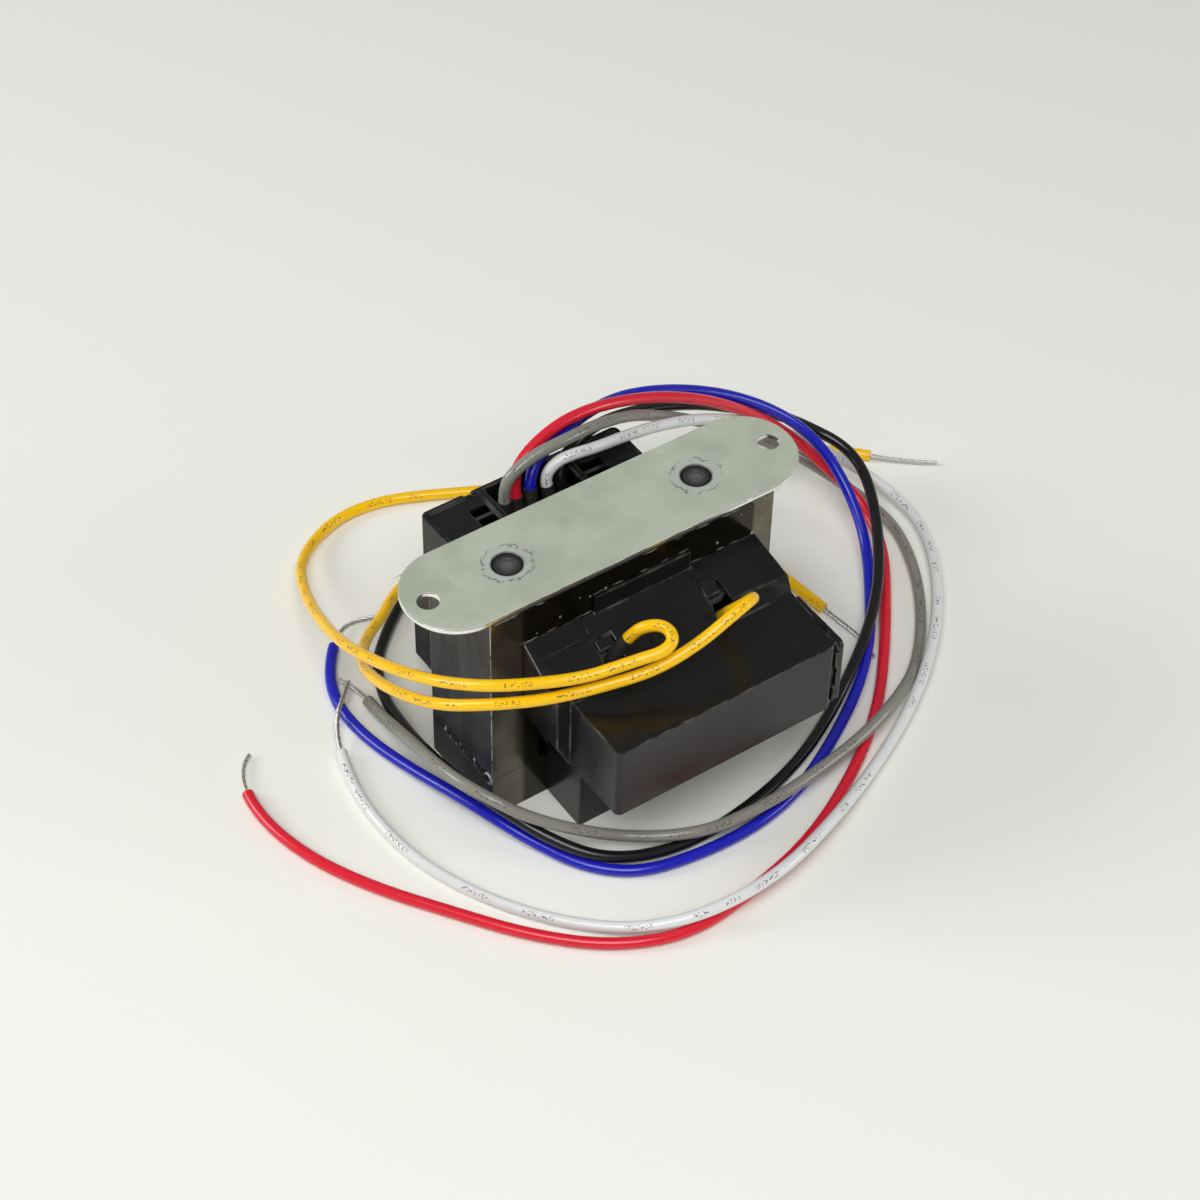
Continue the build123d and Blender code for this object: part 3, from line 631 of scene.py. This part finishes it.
def zinc_plating(settings):
    """Zinc plating with faint clouds, a bright rolled rim and a ragged scorch round each plug weld."""
    graph = Graph("zinc plating")
    x, y, z = graph.axes()
    stained, heated = (0.68, 0.68, 0.56), (0.5, 0.56, 0.56)
    burnt, sooty = (0.06, 0.06, 0.055), (0.05, 0.05, 0.047)
    polished, dark_line_colour = (0.95, 0.95, 0.92), (0.05, 0.05, 0.05)
    reach = weld_circle(graph, x, y)
    ragged = reach + (graph.noise(3.2, detail=6.0, roughness=0.75) - 0.5) * 6.0
    limit, weld_edge = settings.scorch / mm, plug_radius / mm
    halo = 1 - graph.step(ragged, limit - 0.6, limit - 0.1)
    outline = graph.step(ragged, limit - 0.35, limit - 0.15)
    outline = outline * (1 - graph.step(ragged, limit, limit + 0.15))
    breaks = graph.step(graph.noise(2.6, detail=3.0), 0.42, 0.52)
    rim = 1 - graph.step(reach + graph.noise(1.5) * 0.4, weld_edge + 0.18, weld_edge + 0.78)
    clouds = graph.noise(16.0, detail=3.0)
    spangle = graph.noise(1.1, detail=5.0, roughness=0.7)
    stains = graph.step(graph.noise(5.0, detail=2.0), 0.62, 0.72)
    mottle = graph.step(clouds * 0.6 + graph.noise(7.0, detail=4.0) * 0.4, 0.38, 0.66)
    tone = graph.blend(mottle, settings.zinc, toned(settings.zinc, 0.84))
    tone = graph.blend(stains * 0.35, tone, stained)
    tone = graph.blend(halo * 0.5, tone, heated)
    tone = graph.blend(outline * breaks * 0.8, tone, burnt)
    tone = graph.blend(rim * 0.9, tone, sooty)
    depth = plate_top / mm - z
    rolled = graph.step(depth, 0.08, 0.24)
    # A broken thin dark line just below the plate's top edge.
    dark_line = graph.step(depth, 0.16, 0.22) * (1 - graph.step(depth, 0.3, 0.42))
    dark_line = dark_line * graph.step(graph.noise(5.0, detail=3.0), 0.4, 0.5)
    tone = graph.blend(rolled, tone, polished)
    tone = graph.blend(dark_line * 0.8, tone, dark_line_colour)
    return graph.surface({
        "Base Color": tone,
        "Metallic": 0.35 + rolled * 0.6,
        "Roughness": 0.46 - rolled * 0.3 + spangle * 0.1,
        "Normal": graph.bump(spangle * 0.3 + clouds, 0.03),
    })


def plug_metal(settings):
    """Weld metal sunk in the plate, with rings left by its cooling."""
    graph = Graph("plug weld")
    cooled = (0.27, 0.29, 0.3)
    x, y = graph.axes()[:2]
    reach = weld_circle(graph, x, y)
    wobble = graph.noise(1.5, detail=3.0)
    rings = graph.math("SINE", reach * 5.0 + wobble * 4.0)
    middle = 1 - graph.step(reach + wobble * 1.2, 1.2, 3.0)
    tone = graph.blend(graph.step(reach, 2.4, 3.3), settings.plug, toned(settings.plug, 0.3))
    tone = graph.blend(middle * 0.6, tone, cooled)
    return graph.surface({
        "Base Color": tone,
        "Metallic": 0.8,
        "Roughness": 0.33 + wobble * 0.2,
        "Normal": graph.bump(rings * 0.4 + wobble, 0.12),
    })


def cover_plastic(settings, shine):
    """Black moulded plastic with a faint grain, smears and fine dust, as rough as shine or more."""
    graph = Graph("cover plastic")
    clouds = graph.noise(12.0, detail=4.0, roughness=0.6)
    grain = graph.noise(0.3, detail=2.0)
    dust = graph.specks(spacing=4.5, size=0.14) * graph.step(graph.noise(7.0), 0.5, 0.56)
    lint = graph.specks(spacing=1.1, size=0.05) * graph.step(clouds, 0.46, 0.7)
    tone = graph.blend(clouds, settings.plastic, toned(settings.plastic, 1.8))
    tone = graph.blend(dust * 0.8 + lint * 0.3, tone, settings.dust)
    # Rounded edges lightened with the dust colour: partly wear, partly a painted highlight along the
    # edges.
    wear_and_highlight = graph.rounded_edge() * graph.step(graph.noise(5.0, detail=4.0, roughness=0.6), 0.4, 0.62)
    tone = graph.blend(wear_and_highlight * 0.12, tone, settings.dust)
    smears = graph.step(graph.noise(22.0, detail=3.0, roughness=0.55), 0.4, 0.65)
    waves = graph.noise(9.0) * 0.3 + graph.noise(26.0) * 0.58
    return graph.surface({
        "Base Color": tone,
        "Roughness": shine + clouds * 0.12 + smears * 0.12,
        "Normal": graph.bump(grain * 0.12 + waves, 0.12),
        "IOR": 1.44,
    })


def plain_plastic(name, base, roughness):
    """Matte moulded plastic or film that hardly shows."""
    graph = Graph(name)
    clouds = graph.noise(4.0, detail=3.0)
    return graph.surface({
        "Base Color": graph.blend(clouds, base, toned(base, 0.85)),
        "Roughness": roughness + clouds * 0.1,
    })


def magnet_wire(settings):
    """Turns of varnished copper wire, as fine ridges round the coil."""
    graph = Graph("magnet wire")
    z = graph.axes()[2]
    turns = graph.math("SINE", z * 12.0)
    return graph.surface({
        "Base Color": graph.blend(graph.noise(2.0), settings.wire, toned(settings.wire, 0.7)),
        "Metallic": 0.9,
        "Roughness": 0.25 + graph.noise(1.0) * 0.1,
        "Normal": graph.bump(turns * 0.5 + 0.5, 0.1),
    })


def floor_paint(settings):
    """Plain pale matte floor."""
    graph = Graph("pale floor")
    return graph.surface({
        "Base Color": colour(settings.floor),
        "Roughness": 0.9,
        "Specular IOR Level": 0.1,
    })


def give_finish(mesh, material):
    """Give a mesh one material."""
    mesh.materials.clear()
    mesh.materials.append(material)


def mesh_from(name, shape):
    """A mesh from a bmesh, which is freed."""
    mesh = bpy.data.meshes.new(name)
    shape.to_mesh(mesh)
    shape.free()
    return mesh


def add_piece(name, mesh, material, nodes):
    """A finished piece that rides on the part and stands for its modelled nodes."""
    piece = bpy.data.objects.new(name, mesh)
    bpy.context.scene.collection.objects.link(piece)
    give_finish(mesh, material)
    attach(piece, "root")
    if nodes:
        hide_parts(*nodes)
    return piece


def coat(node, material):
    """Give a modelled node its finish."""
    give_finish(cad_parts[node].data, material)


def smooth_by_angle(shape, degrees):
    """Smooth shading, with an edge kept sharp where its faces turn by more than an angle."""
    for face in shape.faces:
        face.smooth = True
    for edge in shape.edges:
        edge.smooth = edge.calc_face_angle(math.pi) < math.radians(degrees)


def rounded_copy(name, node, width, material, pierced=False):
    """A merged copy of a node with small rounded edges, which stands for the node.

    Flat faces with windows in them are divided into plain ones where pierced is true.
    """
    shape = bmesh.new()
    shape.from_mesh(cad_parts[node].data)
    layer = shape.faces.layers.float.new("rounded_edge")
    bmesh.ops.remove_doubles(shape, verts=shape.verts, dist=merge_distance)
    bmesh.ops.dissolve_limit(shape, angle_limit=flat_angle, verts=shape.verts, edges=shape.edges)
    if pierced:
        bmesh.ops.connect_verts_concave(shape, faces=shape.faces)
    sharp = [edge for edge in shape.edges if edge.calc_face_angle(0.0) > rounded_angle]
    rounded = bmesh.ops.bevel(
        shape, geom=sharp, offset=width, offset_type="OFFSET", segments=2, profile=0.5,
        affect="EDGES", clamp_overlap=False, material=-1,
    )
    for face in rounded["faces"]:
        face[layer] = 1.0
    bmesh.ops.triangulate(shape, faces=shape.faces, ngon_method="EAR_CLIP")
    smooth_by_angle(shape, degrees=40)
    piece = add_piece(name, mesh_from(name, shape), material, [node])
    even = piece.modifiers.new("even shading", "WEIGHTED_NORMAL")
    even.keep_sharp = True
    return piece


def moved(point):
    """A point of a route, moved from the core's own place to the part's."""
    return Vector(point) + Vector((0, core_y, 0))


def halfway(first, second):
    """The middle between two points of a route."""
    return (moved(first) + moved(second)) / 2


def round_curve(name, radius, roundness):
    """An empty curve whose splines become round rods with closed ends."""
    curve = bpy.data.curves.new(name, "CURVE")
    curve.dimensions = "3D"
    curve.bevel_depth = radius
    curve.bevel_resolution = roundness
    curve.use_fill_caps = True
    return curve


def add_spline(curve, kind, count):
    """A new spline of a curve, with a number of points to be placed."""
    spline = curve.splines.new(kind)
    spline.points.add(count - 1)
    return spline


def spline_curve(name, points, radius, samples=10):
    """A curve of one smooth open spline, with a route's points as its control points."""
    curve = round_curve(name, radius, roundness=6)
    spline = add_spline(curve, "NURBS", len(points))
    for control, point in zip(spline.points, points):
        control.co = (*point, 1.0)
    spline.order_u = 3
    spline.use_endpoint_u = True
    spline.resolution_u = samples
    return curve


def evaluated_mesh(curve):
    """The mesh that a curve makes. The curve itself is removed."""
    holder = bpy.data.objects.new(curve.name, curve)
    bpy.context.scene.collection.objects.link(holder)
    evaluated = holder.evaluated_get(bpy.context.evaluated_depsgraph_get())
    mesh = bpy.data.meshes.new_from_object(evaluated)
    bpy.data.objects.remove(holder)
    bpy.data.curves.remove(curve)
    return mesh


def centreline(name, points, samples=10):
    """Points along the smooth spline of a route."""
    mesh = evaluated_mesh(spline_curve(name, points, 0.0, samples))
    line = [vertex.co.copy() for vertex in mesh.vertices]
    bpy.data.meshes.remove(mesh)
    return line


def distances(line):
    """Distance along a line of points at each of them."""
    steps = [0.0]
    for before, after in zip(line, line[1:]):
        steps.append(steps[-1] + (after - before).length)
    return steps


def tangents(line):
    """The direction of a line of points at each of them."""
    ahead = [*line[1:], line[-1]]
    before = [line[0], *line[:-1]]
    return [(after - last).normalized() for last, after in zip(before, ahead)]


def lead_tube(name, points, radius):
    """A round lead and its centreline.

    Its own coordinates give the share of the way round, 0.5 on its printed side, and the
    distance along it. A face over the seam, where the share turns from 1 to 0, goes on past 1.
    """
    seam_side = 0.25
    line = centreline(name, points)
    mesh = evaluated_mesh(spline_curve(name, points, radius))
    reach = distances(line)
    ahead = tangents(line)
    coordinates = mesh.uv_layers[0].data
    for face in mesh.polygons:
        around = []
        for loop, corner in zip(face.loop_indices, face.vertices):
            index = round(coordinates[loop].uv[0] * (len(line) - 1))
            facing = (printed_side - ahead[index] * printed_side.dot(ahead[index])).normalized()
            beside = ahead[index].cross(facing)
            spoke = mesh.vertices[corner].co - line[index]
            turn = 0.5 + math.atan2(spoke.dot(beside), spoke.dot(facing)) / (2 * math.pi)
            around.append((loop, turn, reach[index]))
        over_seam = max(turn for loop, turn, distance in around) > 1 - seam_side
        for loop, turn, distance in around:
            past_seam = over_seam and turn < seam_side
            coordinates[loop].uv = (turn + 1 if past_seam else turn, distance)
    shape = bmesh.new()
    shape.from_mesh(mesh)
    smooth_by_angle(shape, degrees=50)
    shape.to_mesh(mesh)
    shape.free()
    return mesh, line


def twisted_wires(name, points, settings):
    """The bare wires of a lead, twisted round each other, a little uneven."""
    line = centreline(name, points, samples=30)
    reach = distances(line)
    wire_radius = settings.bundle * 0.23
    offset = settings.bundle / 2 - wire_radius
    slack, slack_waves = 0.14, 7
    side = (line[1] - line[0]).orthogonal().normalized()
    curve = round_curve(name, wire_radius, roundness=2)
    frames = []
    for point, ahead in zip(line, tangents(line)):
        side = (side - ahead * side.dot(ahead)).normalized()
        frames.append((point, side.copy(), ahead.cross(side)))
    for number in range(settings.wires):
        spline = add_spline(curve, "POLY", len(line))
        start = 2 * math.pi * number / settings.wires
        for control, distance, (point, across, over) in zip(spline.points, reach, frames):
            share = distance / reach[-1]
            spread = offset * (1 - slack * math.sin(slack_waves * share + 2 * number) ** 2)
            turn = start + 2 * math.pi * distance / settings.lay
            place = point + (across * math.cos(turn) + over * math.sin(turn)) * spread
            control.co = (*place, 1.0)
    mesh = evaluated_mesh(curve)
    for face in mesh.polygons:
        face.use_smooth = True
    return mesh


class TRANSFORMER_OT_leads(bpy.types.Operator):
    """Lay the seven insulated leads with their bare twisted ends"""

    bl_idname = "transformer.leads"
    bl_label = "Lay leads"

    def execute(self, context):
        settings = context.scene.transformer_leads
        tin = tinned_copper()
        for name, points in lead_points.items():
            paint = name.split("_")[0]
            start = halfway(sleeve_ends[name], points[0])
            end = halfway(points[-1], strand_points[name][0])
            bare_line = [end] + [moved(point) for point in strand_points[name]]
            wires = add_piece(
                f"bare_wires_{name}", twisted_wires(f"bare_wires_{name}", bare_line, settings),
                tin, [f"strands_{name}"],
            )
            route = [start] + [moved(point) for point in points] + [end]
            mesh, line = lead_tube(f"insulated_lead_{name}", route, settings.diameter / 2)
            ink = settings.ink if paint in printed_colours else None
            plastic = insulation(f"{name} insulation", getattr(settings, paint), ink)
            lead = add_piece(
                f"insulated_lead_{name}", mesh, plastic, [f"lead_{name}"]
            )
        tubing = sleeve_tubing()
        coat("primary_lead_sleeves", tubing)
        coat("secondary_lead_sleeves", tubing)
        return {"FINISHED"}


def finished_mesh(name, shape):
    """A smooth mesh from a bmesh, with its faces pointing outwards."""
    bmesh.ops.recalc_face_normals(shape, faces=shape.faces)
    smooth_by_angle(shape, degrees=50)
    return mesh_from(name, shape)


def weld_crater(settings):
    """The raised ring and dome where the seam weld ends at the core's front corner."""
    radius = settings.crater
    ring_radius = radius * 0.24
    dome_radius = radius * 0.45
    dome_flattening = (0.5, 1, 1)
    from_corner = radius * 0.9
    shape = bmesh.new()
    bmesh.ops.create_circle(
        shape, cap_ends=False, segments=8, radius=ring_radius,
        matrix=Matrix.Translation((0, radius - ring_radius, 0)),
    )
    bmesh.ops.spin(
        shape, geom=shape.verts[:] + shape.edges[:], cent=(0, 0, 0), axis=(1, 0, 0),
        angle=2 * math.pi, steps=28, use_merge=True,
    )
    dome = bmesh.ops.create_uvsphere(shape, u_segments=16, v_segments=8, radius=dome_radius)
    bmesh.ops.scale(shape, vec=dome_flattening, verts=dome["verts"])
    middle = Vector((core_low.x, core_low.y + from_corner, seam_z))
    bmesh.ops.translate(shape, vec=middle, verts=shape.verts)
    return finished_mesh("seam_weld_crater", shape)


def varnish_runs(settings):
    """Thin broken runs of varnish along the joints on the core's front face, and a few drops."""
    chance = np.random.default_rng(settings.seed)
    run_length, gap_length, wander = (1.5, 6.0), (0.8, 6.0), (-0.12, 0.12)
    point_spacing, fewest_points = 0.7, 3
    end_thickness, thickness = 0.3, (0.4, 1.3)
    drop_shape = (1, 0.6, 1.2)
    curve = round_curve("varnish_runs", settings.run, roundness=1)
    for first, last, height in varnish_lines:
        place = first
        while place < last:
            length = min(chance.uniform(*run_length), last - place)
            count = max(fewest_points, int(length / point_spacing))
            spline = add_spline(curve, "POLY", count)
            for index, control in enumerate(spline.points):
                x = place + length * index / (count - 1)
                z = height + chance.uniform(*wander)
                control.co = (x * mm, core_low.y, z * mm, 1.0)
                at_end = index in (0, count - 1)
                control.radius = end_thickness if at_end else chance.uniform(*thickness)
            place += length + chance.uniform(*gap_length)
    runs = evaluated_mesh(curve)
    shape = bmesh.new()
    shape.from_mesh(runs)
    bpy.data.meshes.remove(runs)
    for x, z, size in varnish_drops:
        drop = bmesh.ops.create_icosphere(shape, subdivisions=2, radius=size * mm)
        bmesh.ops.scale(shape, vec=drop_shape, verts=drop["verts"])
        bmesh.ops.translate(shape, vec=(x * mm, core_low.y, z * mm), verts=drop["verts"])
    return finished_mesh("varnish_runs", shape)


class TRANSFORMER_OT_core(bpy.types.Operator):
    """Finish the stacked iron core and its seam welds"""

    bl_idname = "transformer.core"
    bl_label = "Finish core"

    def execute(self, context):
        settings = context.scene.transformer_core
        stack = punchings("E punchings", settings, edge_light_factor=1.0)
        # The I punchings are a darker copy of the same steel: painted shade low on the stack's end.
        foot = punchings("I punchings", settings, edge_light_factor=0.3)
        edge = settings.edge_round
        rounded_copy("stacked_e_punchings", "e_laminations", edge, stack)
        rounded_copy("stacked_i_punchings", "i_laminations", edge, foot)
        coat("seam_welds", bead_metal("seam weld", settings, crest=0.56))
        crater = bead_metal("weld crater", settings, crest=0.0)
        add_piece("seam_weld_crater", weld_crater(settings), crater, [])
        add_piece("varnish_runs", varnish_runs(settings), clear_varnish(), [])
        return {"FINISHED"}


class TRANSFORMER_OT_plate(bpy.types.Operator):
    """Finish the mounting plate and its plug welds"""

    bl_idname = "transformer.plate"
    bl_label = "Finish plate"

    def execute(self, context):
        settings = context.scene.transformer_plate
        zinc = zinc_plating(settings)
        edge = settings.edge_round
        rounded_copy("plated_mounting_plate", "mounting_plate", edge, zinc)
        coat("plug_welds", plug_metal(settings))
        return {"FINISHED"}


class TRANSFORMER_OT_covers(bpy.types.Operator):
    """Finish the moulded lead covers and the coil inside them"""

    bl_idname = "transformer.covers"
    bl_label = "Finish covers"

    def execute(self, context):
        settings = context.scene.transformer_covers
        glossy = cover_plastic(settings, settings.gloss)
        matte = cover_plastic(settings, settings.matte)
        edge = settings.edge_round
        mouldings = (
            ("front_cover", glossy, False), ("lead_box_cap", glossy, True), ("back_cover", matte, True),
        )
        for node, plastic, pierced in mouldings:
            rounded_copy(f"moulded_{node}", node, edge, plastic, pierced)
        # The bobbin is coloured dark as painted shade inside the ports.
        coat("bobbin", plain_plastic("bobbin nylon", settings.nylon, roughness=0.5))
        film = plain_plastic("insulating film", settings.film, roughness=0.3)
        coat("winding_barrier", film)
        coat("outer_wrap", film)
        wire = magnet_wire(settings)
        coat("primary_winding", wire)
        coat("secondary_winding", wire)
        return {"FINISHED"}


def add_lamp(name, place, aim, size, power):
    """A large square soft light that faces a point."""
    lamp = bpy.data.lights.new(name, "AREA")
    lamp.size = size
    lamp.energy = power
    holder = bpy.data.objects.new(name, lamp)
    holder.location = place
    holder.rotation_mode = "QUATERNION"
    holder.rotation_quaternion = (Vector(aim) - Vector(place)).to_track_quat("-Z", "Y")
    bpy.context.scene.collection.objects.link(holder)


def add_camera(settings):
    """The camera at the photograph's place and angle."""
    lens = bpy.data.cameras.new("camera")
    lens.lens = settings.lens
    lens.sensor_width = settings.sensor
    lens.clip_start = settings.nearest
    camera = bpy.data.objects.new("camera", lens)
    bpy.context.scene.collection.objects.link(camera)
    bpy.context.scene.camera = camera
    yaw, pitch, roll = settings.yaw, settings.pitch, settings.roll
    ahead = Vector((math.sin(yaw) * math.cos(pitch), math.cos(yaw) * math.cos(pitch), -math.sin(pitch)))
    level = Vector((math.cos(yaw), -math.sin(yaw), 0))
    above = level.cross(ahead)
    right = level * math.cos(roll) + above * math.sin(roll)
    up = above * math.cos(roll) - level * math.sin(roll)
    turn = Matrix((right, up, -ahead)).transposed()
    camera.matrix_world = Matrix.Translation(moved(settings.eye)) @ turn.to_4x4()


class TRANSFORMER_OT_stage(bpy.types.Operator):
    """Set the floor, the soft lights and the camera"""

    bl_idname = "transformer.stage"
    bl_label = "Set stage"

    def execute(self, context):
        settings = context.scene.transformer_stage
        shape = bmesh.new()
        bmesh.ops.create_grid(shape, x_segments=1, y_segments=1, size=settings.reach)
        mesh = mesh_from("floor", shape)
        give_finish(mesh, floor_paint(settings))
        floor = bpy.data.objects.new("floor", mesh)
        context.scene.collection.objects.link(floor)
        world = bpy.data.worlds.new("world")
        context.scene.world = world
        world.use_nodes = True
        sky = world.node_tree.nodes["Background"]
        sky.inputs["Color"].default_value = (1.0, 1.0, 1.0, 1.0)
        sky.inputs["Strength"].default_value = settings.sky
        for name, place, aim, size, power in lamps:
            add_lamp(name, place, aim, size, power)
        add_camera(settings)
        context.scene.view_settings.view_transform = "Standard"
        return {"FINISHED"}


class TRANSFORMER_PT_panel(bpy.types.Panel):
    """The transformer's steps in the sidebar"""

    bl_idname = "TRANSFORMER_PT_panel"
    bl_label = "Transformer"
    bl_space_type = "VIEW_3D"
    bl_region_type = "UI"
    bl_category = "Transformer"

    def draw(self, context):
        for step in steps:
            self.layout.operator(step.bl_idname)


steps = (
    TRANSFORMER_OT_stage,
    TRANSFORMER_OT_leads,
    TRANSFORMER_OT_core,
    TRANSFORMER_OT_plate,
    TRANSFORMER_OT_covers,
)
groups = {
    "transformer_leads": LeadSettings,
    "transformer_core": CoreSettings,
    "transformer_plate": PlateSettings,
    "transformer_covers": CoverSettings,
    "transformer_stage": StageSettings,
}


def register():
    for made in (*groups.values(), *steps, TRANSFORMER_PT_panel):
        bpy.utils.register_class(made)
    for name, group in groups.items():
        setattr(bpy.types.Scene, name, PointerProperty(type=group))


def unregister():
    for name in groups:
        delattr(bpy.types.Scene, name)
    for made in reversed((*groups.values(), *steps, TRANSFORMER_PT_panel)):
        bpy.utils.unregister_class(made)


def main():
    register()
    bpy.ops.transformer.stage()
    bpy.ops.transformer.leads()
    bpy.ops.transformer.core()
    bpy.ops.transformer.plate()
    bpy.ops.transformer.covers()


if __name__ == "__main__":
    main()
